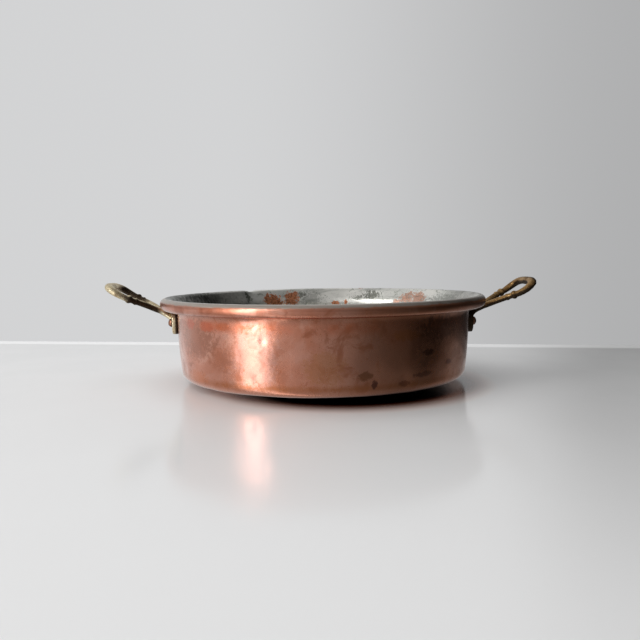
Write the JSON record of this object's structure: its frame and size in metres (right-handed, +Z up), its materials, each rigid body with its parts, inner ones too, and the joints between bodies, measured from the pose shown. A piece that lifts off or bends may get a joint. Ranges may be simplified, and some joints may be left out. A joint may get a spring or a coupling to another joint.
{
  "type": "two-handled copper pan",
  "caption": "Shallow round copper cooking pan with a rolled rim, a tinned inside and cast brass loop handles riveted to opposite sides.",
  "frame": {"origin": "centre of the flat rest under the pan's bottom, on the pan's axis", "axes": "+Z up along the pan's axis, +X towards the right handle with a handle on each side along X, +Y towards the back"},
  "size_m": [0.37, 0.278, 0.0857],
  "materials": {
    "copper_sheet": "worn satin copper with brown patina",
    "tin_coating": "worn hot-tinned grey, streaked, rubbed through to copper in places",
    "iron_wire": "dull iron wire, hidden inside the rolled rim",
    "cast_brass": "aged cast brass, dull, dark in the hollows",
    "copper_rivet": "dark copper, hammered heads"
  },
  "bodies": {
    "root": {"vessel": "copper_sheet", "tin_lining": "tin_coating", "rim_wire": "iron_wire", "right_handle": "cast_brass", "left_handle": "cast_brass", "right_rivet_front": "copper_rivet", "right_rivet_back": "copper_rivet", "left_rivet_front": "copper_rivet", "left_rivet_back": "copper_rivet"}
  },
  "joints": []
}
